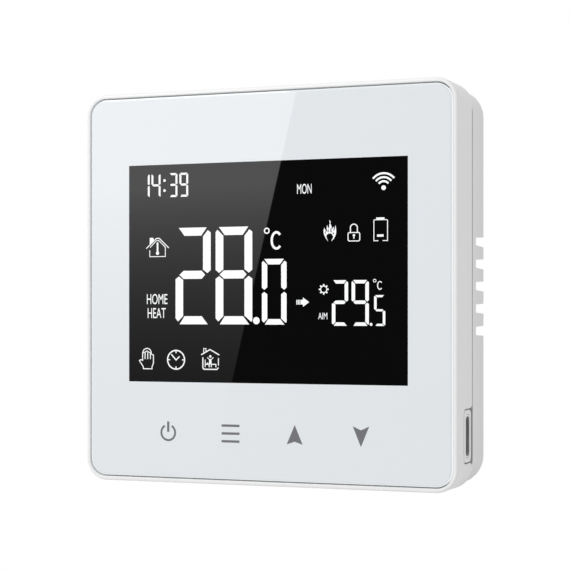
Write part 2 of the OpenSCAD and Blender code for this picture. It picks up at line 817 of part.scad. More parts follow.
front_housing();
glass_panel();
glass_ink();
glass_tape();
front_polariser();
display_front_glass();
display_rear_glass();
rear_polariser();
light_guide();
reflector_sheet();
lamp_strip();
backlight_lamps();
display_holder();
contact_strip();
main_board();
board_screws();
touch_springs();
driver_chip();
processor_chip();
touch_chip();
radio_board();
radio_shield();
clock_crystal();
charging_shell();
charging_tongue();
socket_plate();
battery_cell();
battery_pad();
battery_plug();
battery_socket();
battery_leads();
link_base();
link_pins();
room_sensor();
sensor_bead();
rear_housing();
relay_board();
relay_board_screws();
relay();
relay_diode();
smoothing_capacitor();
link_socket();
terminal_block();
terminal_strips();
terminal_screw_1();
terminal_screw_2();
terminal_screw_3();
wire_clamp_1();
wire_clamp_2();
wire_clamp_3();
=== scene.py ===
# A wall thermostat: a glass front unit with a display, pulled on to a base that is screwed to the wall.
# Metres, in the frame's own axes: the wall is at y = 0, the glass faces -Y, and +Z is up.
import math

import bmesh
import bpy
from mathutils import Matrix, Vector


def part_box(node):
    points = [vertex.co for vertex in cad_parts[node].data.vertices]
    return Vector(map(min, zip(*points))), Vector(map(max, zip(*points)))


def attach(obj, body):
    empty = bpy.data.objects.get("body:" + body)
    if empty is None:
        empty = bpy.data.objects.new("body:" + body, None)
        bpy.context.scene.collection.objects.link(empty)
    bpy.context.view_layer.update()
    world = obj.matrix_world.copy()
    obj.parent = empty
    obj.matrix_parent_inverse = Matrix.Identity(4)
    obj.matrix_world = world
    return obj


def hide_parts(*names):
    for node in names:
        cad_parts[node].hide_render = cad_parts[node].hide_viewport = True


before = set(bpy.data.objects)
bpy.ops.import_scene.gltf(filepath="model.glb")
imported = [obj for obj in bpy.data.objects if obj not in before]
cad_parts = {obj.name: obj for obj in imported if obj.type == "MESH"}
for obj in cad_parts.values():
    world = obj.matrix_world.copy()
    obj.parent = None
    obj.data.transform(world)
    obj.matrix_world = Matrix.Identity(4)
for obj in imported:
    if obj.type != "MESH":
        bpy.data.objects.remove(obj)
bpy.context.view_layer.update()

mm = 0.001

# --- Camera ---------------------------------------------------------------------------------
# A level camera with a long lens, turned to the left, so that it sees the glass and the right side.
bpy.ops.object.select_all(action="DESELECT")
bpy.ops.object.camera_add(
    location=(0.1340, -0.3501, -0.0064), rotation=(math.radians(90), 0, math.radians(21.47))
)
camera = bpy.context.object
camera.data.lens = 104.26
camera.data.shift_y = 0.0544
bpy.context.scene.camera = camera

# --- Studio ---------------------------------------------------------------------------------
# A white sweep far below and all round, one soft lamp at the upper left, a light card that the glass
# mirrors across its left half, a dark cloth behind the camera that keeps the rest black, and two
# small grey cards, under the front unit and beside the base, that shade those edges.
def shader_tree(owner, *kinds):
    """Empties the node tree of a material or the world, adds nodes, and returns link() and the nodes."""
    owner.use_nodes = True
    tree = owner.node_tree
    tree.nodes.clear()
    return tree.links.new, *[tree.nodes.new(kind) for kind in kinds]


def seen_as_white(owner, shader, strength):
    """Adds a white glow that only camera, glossy and clear rays see, at that strength, over the shader."""
    nodes, link = owner.node_tree.nodes, owner.node_tree.links.new
    path, glow, mix = (nodes.new("ShaderNode" + kind) for kind in ("LightPath", "Emission", "MixShader"))
    either = [nodes.new("ShaderNodeMath") for _ in range(2)]
    for node in either:
        node.operation = "MAXIMUM"
    glow.inputs["Strength"].default_value = strength
    link(path.outputs["Is Camera Ray"], either[0].inputs[0])
    link(path.outputs["Is Glossy Ray"], either[0].inputs[1])
    link(either[0].outputs[0], either[1].inputs[0])
    link(path.outputs["Is Transmission Ray"], either[1].inputs[1])
    link(either[1].outputs[0], mix.inputs[0])
    link(shader.outputs[0], mix.inputs[1])
    link(glow.outputs[0], mix.inputs[2])
    return mix


world = bpy.context.scene.world = bpy.data.worlds.new("studio")
link, surroundings, output = shader_tree(world, "ShaderNodeBackground", "ShaderNodeOutputWorld")
surroundings.inputs["Strength"].default_value = 0.82
link(seen_as_white(world, surroundings, 1).outputs[0], output.inputs[0])

bpy.ops.mesh.primitive_plane_add(size=6, location=(0, 0, -0.3))
floor = bpy.context.object
floor.name = "floor"
paint = bpy.data.materials.new("floor_white")
link, pale, output = shader_tree(paint, "ShaderNodeBsdfDiffuse", "ShaderNodeOutputMaterial")
pale.inputs["Color"].default_value = (0.9, 0.9, 0.9, 1)
link(seen_as_white(paint, pale, 1).outputs[0], output.inputs[0])
floor.data.materials.append(paint)

bpy.ops.object.light_add(type="AREA", location=(-0.55, -0.95, 0.75))
lamp = bpy.context.object
lamp.name = "soft_lamp"
lamp.data.shape = "SQUARE"
lamp.data.size = 0.7
lamp.data.energy = 7.9
lamp.rotation_euler = (Vector((0, -0.01, 0)) - lamp.location).to_track_quat("-Z", "Y").to_euler()


def card(name, corners, strength, rise=0):
    """A flat card in front of the glass, seen only in its mirror image, brighter towards its top."""
    mesh = bpy.data.meshes.new(name)
    mesh.from_pydata(corners, [], [range(len(corners))])
    board = bpy.data.objects.new(name, mesh)
    bpy.context.collection.objects.link(board)
    finish = bpy.data.materials.new(name)
    link, place, split, ramp, bend, glow, output = shader_tree(
        finish, "ShaderNodeTexCoord", "ShaderNodeSeparateXYZ", "ShaderNodeMapRange", "ShaderNodeMath",
        "ShaderNodeEmission", "ShaderNodeOutputMaterial",
    )
    ramp.inputs["From Min"].default_value, ramp.inputs["From Max"].default_value = -0.15, 0.071
    ramp.inputs["To Min"].default_value, ramp.inputs["To Max"].default_value = -0.15 * rise, 0.071 * rise
    bend.operation = "POWER"
    bend.inputs[0].default_value = math.e
    link(place.outputs["Object"], split.inputs[0])
    link(split.outputs["Z"], ramp.inputs["Value"])
    link(ramp.outputs[0], bend.inputs[1])
    glow.inputs["Color"].default_value = (strength, strength, strength, 1)
    link(bend.outputs[0], glow.inputs["Strength"])
    link(glow.outputs[0], output.inputs[0])
    board.data.materials.append(finish)
    board.visible_camera = board.visible_diffuse = board.visible_shadow = False
    return board


card_y, cloth_y = -0.6, -0.62
low_z, behind_y = -0.046, 0.001
card("light_card", [
    (-0.50, card_y, -0.13), (-0.277, card_y, -0.13), (-0.2102, card_y, 0.147), (-0.50, card_y, 0.147),
], 0.55, 17.6)
card("dark_cloth", [
    (-1.2, cloth_y, -0.8), (1.2, cloth_y, -0.8), (1.2, cloth_y, 0.8), (-1.2, cloth_y, 0.8),
], 0)
low_card = card("low_card", [
    (-0.043, -0.021, low_z), (0.043, -0.021, low_z), (0.05, -0.01, low_z), (0.05, 0, low_z),
    (-0.043, 0, low_z),
], 0.42)
rear_card = card("rear_card", [
    (0.044, behind_y, -0.05), (0.056, behind_y, -0.05), (0.056, behind_y, 0.05), (0.044, behind_y, 0.05),
], 0.5)
for board in low_card, rear_card:
    board.visible_diffuse, board.visible_glossy = True, False

bpy.context.scene.view_settings.view_transform = "Standard"

# --- Front housing --------------------------------------------------------------------------
# The white shell of the front unit, moulded in one piece: a thin rim round the glass, a ledge with
# the display's opening, a lip that enters the base, screw posts, and four tongues whose noses snap
# into pockets in the base.
parting_gap = 0.4 * mm
front_low, front_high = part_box("front_housing")
rear_low, rear_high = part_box("rear_housing")
parting_y = rear_low.y - parting_gap
front_corner_r = 4.8 * mm
front_edge_r = 0.58 * mm
rim_edge_r = 0.12 * mm
parting_edge_r = 0.1 * mm
rim_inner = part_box("glass_panel")[1].x + 0.3 * mm
ledge_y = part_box("glass_tape")[1].y
ledge_t = 1.5 * mm
wall_t = 1.8 * mm
move_gap = 0.3 * mm
past = 1 * mm            # how far a cutting block runs past a face


def select(kind, test):
    """Selects the edges or the faces, in edit mode, that pass the test."""
    bpy.ops.mesh.select_mode(type=kind)
    bpy.ops.mesh.select_all(action="DESELECT")
    mesh = bmesh.from_edit_mesh(bpy.context.edit_object.data)
    for part in mesh.faces if kind == "FACE" else mesh.edges:
        if test(part):
            part.select_set(True)
    bmesh.update_edit_mesh(bpy.context.edit_object.data)


def runs_along(axis):
    return lambda edge: abs((edge.verts[0].co - edge.verts[1].co).normalized()[axis]) > 0.999


def named(name):
    """Names the primitive just added, and puts its place into its mesh."""
    piece = bpy.context.object
    piece.name = piece.data.name = name
    bpy.ops.object.transform_apply(location=True, rotation=True, scale=True)
    return piece


def block(name, low, high, corner_r=0, steps=10, axis=1):
    """A block between two corners, with the edges along one axis rounded."""
    bpy.ops.object.select_all(action="DESELECT")
    low, high = Vector(low), Vector(high)
    bpy.ops.mesh.primitive_cube_add(size=1, location=(low + high) / 2, scale=high - low)
    piece = named(name)
    if corner_r:
        bpy.ops.object.mode_set(mode="EDIT")
        select("EDGE", runs_along(axis))
        bpy.ops.mesh.bevel(offset=corner_r, segments=steps, affect="EDGES")
        bpy.ops.object.mode_set(mode="OBJECT")
    return piece


def slab(name, half, from_y, to_y, corner_r, steps=10):
    """A square slab about the middle of the front, with round corners."""
    return block(name, (-half, from_y, -half), (half, to_y, half), corner_r, steps)


def rod(name, at, r, from_y, to_y, sides=32):
    """A straight round rod along the depth, at a place (x, z) on the front."""
    bpy.ops.object.select_all(action="DESELECT")
    bpy.ops.mesh.primitive_cylinder_add(
        vertices=sides, radius=r, depth=to_y - from_y, location=(at[0], (from_y + to_y) / 2, at[1]),
        rotation=(math.radians(90), 0, 0),
    )
    return named(name)


def combine(piece, others, operation):
    """Cuts the others out of the piece, or joins them to it, and deletes them."""
    bpy.ops.object.select_all(action="DESELECT")
    bpy.context.view_layer.objects.active = piece
    for other in others:
        change = piece.modifiers.new("change", "BOOLEAN")
        change.operation = operation
        change.solver = "EXACT"
        change.object = other
        bpy.ops.object.modifier_apply(modifier="change")
        bpy.data.objects.remove(other)


def smooth(piece, angle=32):
    """Smooths the round stretches and keeps the flat faces flat."""
    bpy.ops.object.select_all(action="DESELECT")
    piece.select_set(True)
    bpy.context.view_layer.objects.active = piece
    bpy.ops.object.shade_smooth_by_angle(angle=math.radians(angle))
    piece.modifiers.new("normals", "WEIGHTED_NORMAL").keep_sharp = True
    bpy.ops.object.modifier_apply(modifier="normals")


front_shell = slab("front_shell", front_high.x, front_low.y, parting_y, front_corner_r, 16)
bpy.ops.object.mode_set(mode="EDIT")
select("FACE", lambda face: face.normal.y < -0.99)
bpy.ops.mesh.bevel(offset=front_edge_r, segments=5, affect="EDGES")
select("FACE", lambda face: face.normal.y < -0.99 and face.calc_area() > 1e-3)
bpy.ops.mesh.inset(thickness=front_high.x - front_edge_r - rim_inner)
bpy.ops.mesh.extrude_region_move(TRANSFORM_OT_translate={"value": (0, ledge_y - front_low.y, 0)})
select("EDGE", lambda edge: all(
    abs(v.co.y - front_low.y) < 1e-6 and max(abs(v.co.x), abs(v.co.z)) < rim_inner + 0.01 * mm
    for v in edge.verts
))
bpy.ops.mesh.bevel(offset=rim_edge_r, segments=3, affect="EDGES")
select("FACE", lambda face: face.normal.y > 0.99 and face.calc_center_median().y > parting_y - 1e-6)
bpy.ops.mesh.bevel(offset=parting_edge_r, segments=3, affect="EDGES")
bpy.ops.object.mode_set(mode="OBJECT")

hollow = front_high.x - wall_t
lip_outer = rear_high.x - wall_t - move_gap
lip_t = 1 * mm
lip_inner = lip_outer - lip_t
lip_foot_y, lip_end_y = parting_y - 2 * mm, parting_y + 1.5 * mm
lip_corner_r = 4.2 * mm
plate_low, plate_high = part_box("socket_plate")
plate_corner_r = 1.2 * mm
seam = 0.28 * mm
opening_low, opening_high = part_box("display_front_glass")
loose = Vector((0.1 * mm, 1 * mm, 0.1 * mm))
spring_low, spring_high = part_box("touch_springs")
spring_r, spring_loose = 3.6 * mm, 0.6 * mm
key_z = (spring_low.z + spring_high.z) / 2
key_span = spring_high.x - spring_low.x - 2 * spring_r
key_places = [(spring_low.x + spring_r + key_span * k / 3, key_z) for k in range(4)]
screw_head_r = 1.9 * mm
post_x, post_z = (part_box("board_screws")[1][k] - screw_head_r for k in (0, 2))
post_places = [(x, z) for x in (-post_x, post_x) for z in (-post_z, post_z)]
post_r, bore_r, bore_l = 2.5 * mm, 1.05 * mm, 4 * mm
relief_l, relief_h = 0.95 * mm, 1.2 * mm
board_low, board_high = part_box("main_board")
tongue_x = 14.9 * mm
tongue_w = 6 * mm
tongue_t = 1.2 * mm
tip_bevel = 0.35 * mm
nose_h, nose_l = 0.3 * mm, 1.2 * mm
nose_root = 0.2 * mm
tongue_outer = lip_outer - nose_h

combine(front_shell, [
    slab("cavity", hollow, ledge_y + ledge_t, parting_y + past, front_corner_r - wall_t),
], "DIFFERENCE")
lip = slab("lip", lip_outer, lip_foot_y, lip_end_y, lip_corner_r)
combine(lip, [
    slab("lip_hole", lip_inner, lip_foot_y - past, lip_end_y + past, lip_corner_r - lip_t),
], "DIFFERENCE")
foot = slab("foot", hollow + 0.1 * mm, lip_foot_y, parting_y, front_corner_r - wall_t)
combine(foot, [
    slab("foot_hole", lip_inner + lip_t / 2, lip_foot_y - past, parting_y + past, lip_corner_r),
], "DIFFERENCE")
posts = []
for place in post_places:
    post = rod("post", place, post_r, ledge_y + ledge_t / 2, board_low.y)
    combine(post, [rod("bore", place, bore_r, board_low.y - bore_l, board_low.y + past)], "DIFFERENCE")
    posts.append(post)
tongues = []
for x in (-tongue_x, tongue_x):
    for side in (-1, 1):
        root, tip = side * (tongue_outer - tongue_t), side * tongue_outer
        tongue = block("tongue", (x - tongue_w / 2, ledge_y + ledge_t / 2, min(root, tip)),
                       (x + tongue_w / 2, front_high.y, max(root, tip)))
        bpy.ops.object.mode_set(mode="EDIT")
        select("EDGE", lambda edge: all(v.co.y > front_high.y - 1e-6 for v in edge.verts))
        bpy.ops.mesh.bevel(offset=tip_bevel, segments=3, affect="EDGES")
        bpy.ops.object.mode_set(mode="OBJECT")
        inner, outer = side * (tongue_outer - nose_root), side * (tongue_outer + nose_h)
        nose = block("nose", (x - tongue_w / 2, front_high.y - nose_l, min(inner, outer)),
                     (x + tongue_w / 2, front_high.y - tip_bevel, max(inner, outer)))
        tongues += [tongue, nose]
combine(front_shell, [foot, lip, *posts, *tongues], "UNION")
combine(front_shell, [
    block("display_opening", opening_low - loose, opening_high + loose),
    block("socket_notch", (lip_inner - past, plate_low.y - seam, plate_low.z - seam),
          (front_high.x + past, lip_end_y + 3 * past, plate_high.z + seam), plate_corner_r + seam, 8, axis=0),
    *[block("relief", (hollow - 0.1 * mm, parting_y - relief_l, z - relief_h / 2),
            (front_high.x + past, parting_y + 0.1 * mm, z + relief_h / 2))
      for z in (plate_low.z, plate_high.z)],
    *[rod("spring_hole", place, spring_r + spring_loose, ledge_y - past, ledge_y + ledge_t + past)
      for place in key_places],
], "DIFFERENCE")
smooth(front_shell)


def moulded(name, colour, roughness, grain=0.15, variation=0.02):
    """A moulded plastic: nearly even colour, a fine grain, and a gloss that differs a little over it."""
    finish = bpy.data.materials.new(name)
    link, place, cloud, sheen, speckle, bump, shader, output = shader_tree(
        finish, "ShaderNodeTexCoord", "ShaderNodeTexNoise", "ShaderNodeMapRange",
        "ShaderNodeTexNoise", "ShaderNodeBump", "ShaderNodeBsdfPrincipled", "ShaderNodeOutputMaterial",
    )
    colours = finish.node_tree.nodes.new("ShaderNodeMix")
    colours.data_type = "RGBA"
    first, last = colours.inputs[6], colours.inputs[7]
    first.default_value = (*[c * (1 - variation) for c in colour], 1)
    last.default_value = (*[min(1, c * (1 + variation)) for c in colour], 1)
    cloud.inputs["Scale"].default_value = 60
    speckle.inputs["Scale"].default_value = 3500
    sheen.inputs["To Min"].default_value = roughness * 0.9
    sheen.inputs["To Max"].default_value = roughness * 1.1
    bump.inputs["Strength"].default_value = grain
    bump.inputs["Distance"].default_value = 0.02 * mm
    for node in cloud, speckle:
        link(place.outputs["Object"], node.inputs["Vector"])
    link(cloud.outputs["Fac"], colours.inputs[0])
    link(cloud.outputs["Fac"], sheen.inputs["Value"])
    link(colours.outputs[2], shader.inputs["Base Color"])
    link(sheen.outputs[0], shader.inputs["Roughness"])
    link(speckle.outputs["Fac"], bump.inputs["Height"])
    link(bump.outputs[0], shader.inputs["Normal"])
    link(shader.outputs[0], output.inputs[0])
    return finish


def dress(piece, finish, body, slot, *stood_for):
    """Gives a finished piece its material and its body, and hides the nodes that it stands for. The slot is
    not used.
    """
    piece.data.materials.clear()
    piece.data.materials.append(finish)
    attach(piece, body)
    if stood_for:
        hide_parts(*stood_for)


white_shell = moulded("shell_white", (0.85, 0.85, 0.85), 0.35)
dress(front_shell, white_shell, "front_unit", "shell_white", "front_housing")

# --- Glass ----------------------------------------------------------------------------------
# A pane of toughened glass with ground edges, whose faces glow with painted light. White ink covers its
# back, but for a clear window over the display, which looks black.
glass_corner_r, ground_w = 3.6 * mm, 0.42 * mm
glass_low, glass_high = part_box("glass_panel")
glass = slab("glass_pane", glass_high.x, glass_low.y, glass_high.y, glass_corner_r, 16)
bpy.ops.object.mode_set(mode="EDIT")
select("FACE", lambda face: face.normal.y < -0.99)
bpy.ops.mesh.bevel(offset=ground_w, segments=2, affect="EDGES")
cell_low, cell_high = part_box("front_polariser")
covered = 1.9 * mm
window_low, window_high = (
    cell_low + Vector((covered, 0, covered)), cell_high - Vector((covered, 0, covered))
)
for axis in 0, 2:
    for place in window_low, window_high:
        bpy.ops.mesh.select_all(action="SELECT")
        bpy.ops.mesh.bisect(plane_co=place, plane_no=[float(axis == k) for k in range(3)])
bpy.ops.object.mode_set(mode="OBJECT")
dress(glass, moulded("white_under_glass", (0.775, 0.805, 0.83), 0.01, 0.0, 0.005), "front_unit",
      "clear_glass", "glass_panel", "glass_ink")
glass.data.materials.append(moulded("display_black", (0.0035, 0.0035, 0.0035), 0.01, 0.0))
# The chamfer and the sides glow: painted light for what the glass carries out at its edges. The chamfer is
# the brightest painted highlight, and the side facing +X is painted lighter than the other sides.
for name, base, glow in ("chamfer_painted_glow", 0.2, 0.9), ("right_side_painted_glow", 0.66, 0.42), ("other_sides_painted_glow", 0.66, 0.2):
    edge = moulded(name, (base, base * 1.04, base * 1.05), 0.25, 0.05, 0.01)
    edge.node_tree.nodes["Principled BSDF"].inputs["Emission Color"].default_value = (0.8, 0.83, 0.84, 1)
    edge.node_tree.nodes["Principled BSDF"].inputs["Emission Strength"].default_value = glow
    glass.data.materials.append(edge)
for face in glass.data.polygons:
    inside = all(window_low[k] < face.center[k] < window_high[k] for k in (0, 2))
    side = 2 if face.normal.y < -0.1 else 3 if face.normal.x > 0.7 else 4
    face.material_index = int(inside) if face.normal.y < -0.9 else side
smooth(glass, 20)

# --- Figures --------------------------------------------------------------------------------
# What the display shows: clock, room temperature, set temperature and signs, all in white. Plain digits
# and common signs, drawn in millimetres as seen from the front.
film_t = 0.03 * mm


def ribbon(points, width, closed=False):
    """The outlines of a stroke of even width along some points: one, or two where it is closed."""
    count = len(points)
    sides = [], []
    for k, (x, z) in enumerate(points):
        before = points[k - 1] if closed or k else points[k]
        after = points[(k + 1) % count] if closed or k < count - 1 else points[k]
        ahead = math.atan2(after[1] - z, after[0] - x)
        behind = math.atan2(z - before[1], x - before[0])
        if not closed:
            ahead, behind = (behind if k == count - 1 else ahead), (ahead if k == 0 else behind)
        turn = (ahead - behind + math.pi) % math.tau - math.pi
        across = behind + turn / 2 + math.pi / 2
        reach = width / 2 / max(0.4, math.cos(turn / 2))
        for side, sign in zip(sides, (1, -1)):
            side.append((x + sign * reach * math.cos(across), z + sign * reach * math.sin(across)))
    return [sides[0], sides[1]] if closed else [sides[0] + sides[1][::-1]]


def arc(x, z, rx, rz, start, end, steps=16):
    """Points along an oval about (x, z), from one angle to another, in degrees from the right."""
    angles = [math.radians(start + (end - start) * k / steps) for k in range(steps + 1)]
    return [(x + rx * math.cos(a), z + rz * math.sin(a)) for a in angles]


def disc(x, z, r):
    return arc(x, z, r, r, 0, 345, 23)


def ring(x, z, r, width):
    return [disc(x, z, r), disc(x, z, r - width)]


def bar(x0, x1, z0, z1):
    return [[(x0, z0), (x1, z0), (x1, z1), (x0, z1)]]


def printed(name, shapes, finish, slot, words=(), film_y=None):
    """One thin film of printed shapes on the glass. Each shape is filled between its own outlines."""
    made = []
    for outlines in shapes:
        drawing = bpy.data.curves.new(name, "CURVE")
        drawing.dimensions = "2D"
        drawing.fill_mode = "BOTH"
        drawing.extrude = film_t / mm / 2
        for outline in outlines:
            line = drawing.splines.new("POLY")
            line.points.add(len(outline) - 1)
            for point, (x, z) in zip(line.points, outline):
                point.co = (x, z, 0, 1)
            line.use_cyclic_u = True
        made.append(bpy.data.objects.new(name, drawing))
    for text, x0, x1, z0, z1 in words:
        lettering = bpy.data.curves.new(name, "FONT")
        lettering.body = text
        lettering.extrude = film_t / mm / 2
        word = bpy.data.objects.new(name, lettering)
        bpy.context.collection.objects.link(word)
        bpy.context.view_layer.update()
        low, high = Vector(word.bound_box[0]), Vector(word.bound_box[6])
        word.scale = (x1 - x0) / (high.x - low.x), (z1 - z0) / (high.y - low.y), 1
        word.location = x0 - low.x * word.scale.x, z0 - low.y * word.scale.y, 0
        made.append(word)
    bpy.ops.object.select_all(action="DESELECT")
    for part in made:
        if part.name not in bpy.context.collection.objects:
            bpy.context.collection.objects.link(part)
        part.select_set(True)
    bpy.context.view_layer.objects.active = made[0]
    bpy.ops.object.convert(target="MESH")
    bpy.ops.object.transform_apply(location=True, rotation=True, scale=True)
    bpy.ops.object.join()
    piece = bpy.context.object
    piece.scale = mm, mm, mm
    piece.rotation_euler = math.radians(90), 0, 0
    piece.location = 0, glass_low.y - film_t / 2 if film_y is None else film_y, 0
    piece = named(name)
    dress(piece, finish, "front_unit", slot)
    return piece


LIT = {
    "0": "abcdef", "1": "bc", "2": "abdeg", "3": "abcdg", "4": "bcfg", "5": "acdfg", "8": "abcdefg",
    "9": "abcdfg",
}


def digit(sign, x0, x1, z0, z1, zm, t, h):
    """A digit of seven strokes, t wide upright and h wide lying, in a box with its waist at zm."""
    strokes = {
        "a": [(x0 + .35*t, z1), (x1 - .42*t, z1), (x1 - 1.15*t, z1 - h), (x0 + 1.1*t, z1 - h)],
        "b": [(x1 - t, z1 - 1.05*h), (x1 - .4*t, z1 - .3*h), (x1, z1 - .6*h), (x1, zm + .5*h),
              (x1 - .45*t, zm + .12*h), (x1 - t, zm + .55*h)],
        "c": [(x1 - t, zm - .55*h), (x1 - .45*t, zm - .12*h), (x1, zm - .45*h), (x1, z0 + .5*h),
              (x1 - .15*t, z0 + .25*h), (x1 - t, z0 + h)],
        "d": [(x0 + 1.1*t, z0 + h), (x1 - 1.1*t, z0 + h), (x1 - .3*t, z0), (x0 + .45*t, z0)],
        "e": [(x0 + t, z0 + .95*h), (x0 + .35*t, z0 + .3*h), (x0, z0 + .7*h), (x0, zm - .45*h),
              (x0 + .45*t, zm - .12*h), (x0 + t, zm - .55*h)],
        "f": [(x0 + t, zm + .55*h), (x0 + .45*t, zm + .12*h), (x0, zm + .5*h), (x0, z1 - .6*h),
              (x0 + .25*t, z1 - .28*h), (x0 + t, z1 - h)],
        "g": [(x0 + .45*t, zm), (x0 + t, zm + .5*h), (x1 - 1.1*t, zm + .5*h), (x1 - .65*t, zm),
              (x1 - 1.1*t, zm - .5*h), (x0 + t, zm - .5*h)],
    }
    return [[ribbon(strokes[k], .09 * t, closed=True)[1]] for k in LIT[sign]]


figures = [
    *digit("2", -21.0, -12.4, -8.3, 13.0, 2.6, 2.0, 1.95),
    *digit("8", -11.4, -2.6, -8.3, 13.0, 2.6, 2.0, 1.95),
    [disc(-1.75, -7.4, .78)],
    *digit("0", -0.5, 5.3, -8.3, 5.9, -1.0, 1.35, 1.3),
    ring(0.68, 11.9, .68, .28),
    ribbon(arc(2.92, 9.8, 1.1, 1.75, 42, 318, 20), .5),
    *digit("2", 15.5, 19.2, -8.5, 1.2, -3.5, .85, .8),
    *digit("9", 19.9, 23.8, -8.5, 1.2, -3.5, .85, .8),
    [disc(24.25, -8.15, .31)],
    *digit("5", 24.9, 27.4, -8.5, -2.0, -5.2, .6, .5),
    ring(25.05, 1.0, .37, .14),
    ribbon(arc(26.2, 0, .52, .82, 42, 318, 16), .2),
    *digit("1", -27.75, -27.2, 19.7, 25.0, 22.4, .5, .5),
    *digit("4", -26.8, -24.55, 19.7, 25.0, 22.4, .5, .5),
    [disc(-23.6, 23.4, .3)],
    [disc(-23.6, 21.2, .3)],
    *digit("3", -22.5, -20.45, 19.7, 25.0, 22.4, .5, .5),
    *digit("9", -20.0, -17.85, 19.7, 25.0, 22.4, .5, .5),
]
house = [
    ribbon([(-28.05, 8.5), (-25.65, 10.65), (-25.2, 10.75), (-24.8, 10.65), (-22.55, 8.55)], .2),
    ribbon([(-27.2, 8.1), (-27.2, 6.7), (-23.4, 6.7), (-23.4, 8.75), (-24.9, 10.15), (-25.2, 10.25),
            (-25.65, 10.15), (-27.15, 8.7)], .17),
    [[(-27.2, 9.4), (-26.15, 10.4), (-26.4, 10.85), (-27.2, 10.85)]],
    ribbon([(-25.3, 7.6), (-25.3, 9.8)], .4),
    [disc(-25.3, 7.45, .38)],
]
hand = [
    ribbon([(-28.95, -14.4), (-28.95, -16.2), (-29.35, -16.05), (-29.75, -16.25), (-28.8, -17.6),
            (-28.75, -18.05), (-26.65, -18.05), (-26.65, -17.65), (-26.3, -16.75), (-26.3, -15.0),
            (-26.85, -14.8)], .2),
    *[ribbon([(x, -14.4), (x, -15.9)], .2) for x in (-28.35, -27.7, -27.05)],
    ribbon(arc(-27.87, -14.5, 1.02, .95, -15, 195), .2),
    ribbon([(-28.8, -14.5), (-28.4, -14.4), (-27.9, -14.1), (-27.4, -14.4), (-26.9, -14.5)], .17),
]
dial = [
    ring(-20.8, -16.0, 2.2, .28),
    ribbon([(-21.95, -14.8), (-20.8, -16.05), (-19.95, -15.25)], .25),
    *[bar(-20.8 + dx - w, -20.8 + dx + w, -16.0 + dz - h, -16.0 + dz + h)
      for dx, dz, w, h in ((0, 1.7, .11, .26), (0, -1.7, .11, .26), (1.7, 0, .26, .11), (-1.7, 0, .26, .11))],
]
at_home = [
    ribbon([(-14.75, -14.85), (-12.65, -13.7), (-10.45, -14.85)], .24),
    ribbon([(-14.15, -14.5), (-14.15, -13.5), (-13.6, -13.5), (-13.6, -14.1)], .16),
    ribbon([(-14.35, -15.4), (-14.35, -17.7), (-14.1, -18.0), (-11.0, -18.0), (-10.65, -17.6)], .24),
    ribbon([(-10.65, -15.55), (-10.65, -17.15)], .2),
    [disc(-12.58, -15.18, .27)],
    ribbon([(-13.3, -15.4), (-12.8, -15.85), (-12.35, -15.85), (-11.85, -15.4)], .16),
    [[(-12.85, -15.75), (-12.3, -15.75), (-12.3, -16.9), (-12.85, -16.9)]],
    ribbon([(-13.8, -15.9), (-13.8, -17.55)], .17),
    ribbon([(-13.8, -16.9), (-12.85, -16.9), (-12.85, -17.55)], .22),
    ribbon([(-12.35, -17.55), (-12.35, -16.9), (-11.25, -16.9), (-11.25, -17.55)], .2),
    [disc(-13.25, -16.75, .2)],
]
flame = [[[
    (14.65, 9.4), (14.2, 10.0), (13.85, 10.65), (13.65, 11.35), (13.7, 11.9), (13.85, 12.25), (14.1, 11.8),
    (14.2, 11.35), (14.45, 11.7), (14.35, 12.3), (14.5, 12.85), (14.6, 12.35), (14.8, 12.1), (14.95, 12.5),
    (14.95, 12.95), (15.1, 13.25), (15.0, 13.6), (14.95, 13.9), (15.25, 13.55), (15.2, 13.1), (15.4, 12.65),
    (15.5, 12.35), (15.4, 12.0), (15.5, 11.85), (15.7, 12.1), (15.85, 12.5), (16.0, 12.2), (15.85, 11.7),
    (15.9, 11.5), (16.15, 11.9), (16.25, 12.35), (16.3, 12.85), (16.45, 12.2), (16.5, 11.55), (16.45, 10.95),
    (16.25, 10.4), (15.9, 9.85), (15.35, 9.4), (15.6, 9.85), (15.9, 10.4), (15.75, 10.5), (15.5, 10.95),
    (15.25, 11.15), (15.05, 10.95), (14.85, 11.2), (14.6, 10.85), (14.4, 10.95), (14.25, 10.4), (14.45, 9.9),
], [(14.5, 11.3), (14.85, 11.4), (14.72, 12.1)], [(15.2, 11.4), (15.55, 11.25), (15.2, 12.45)],
    [(15.75, 10.85), (16.05, 10.9), (15.74, 11.55)], [(13.92, 11.05), (14.18, 11.05), (14.0, 11.75)],
]]
padlock = [
    ribbon([(19.4, 9.38), (21.5, 9.38), (21.75, 9.6), (21.75, 10.95), (21.55, 11.15), (19.35, 11.15),
            (19.15, 10.95), (19.15, 9.6)], .2, closed=True),
    ribbon([(19.68, 11.15), *arc(20.45, 12.2, .77, .72, 180, 0, 12), (21.22, 11.15)], .22),
    [disc(20.45, 10.55, .27)],
    bar(20.34, 20.56, 9.85, 10.5),
]
cell = [
    ribbon([(25.85, 9.35), (24.87, 9.35), (24.87, 13.65), (25.0, 13.72), (27.7, 13.72), (27.87, 13.6),
            (27.87, 9.35), (26.8, 9.35)], .17),
    bar(25.4, 27.2, 13.7, 14.2),
    bar(25.57, 27.0, 10.18, 10.65),
]
signal = [[disc(27.0, 20.4, .5)], *[ribbon(arc(27.0, 20.4, r, r, 40, 140), .4) for r in (1.36, 2.2, 3.03)]]
teeth = [
    (13.7 + r * math.cos(math.radians(45 * k + a)), -0.75 + r * math.sin(math.radians(45 * k + a)))
    for k in range(8) for r, a in ((.8, -12), (1.12, -8), (1.12, 8), (.8, 12))
]
gear = [[teeth, disc(13.7, -0.75, .6)]]
arrow = [
    [[(8.5, -3.95), (9.0, -3.95), (9.0, -4.45), (10.4, -3.45), (9.0, -2.45), (9.0, -2.95), (8.5, -2.95)]],
    bar(7.5, 7.72, -3.95, -2.95), bar(7.87, 8.07, -3.95, -2.95), bar(8.2, 8.38, -3.95, -2.95),
]
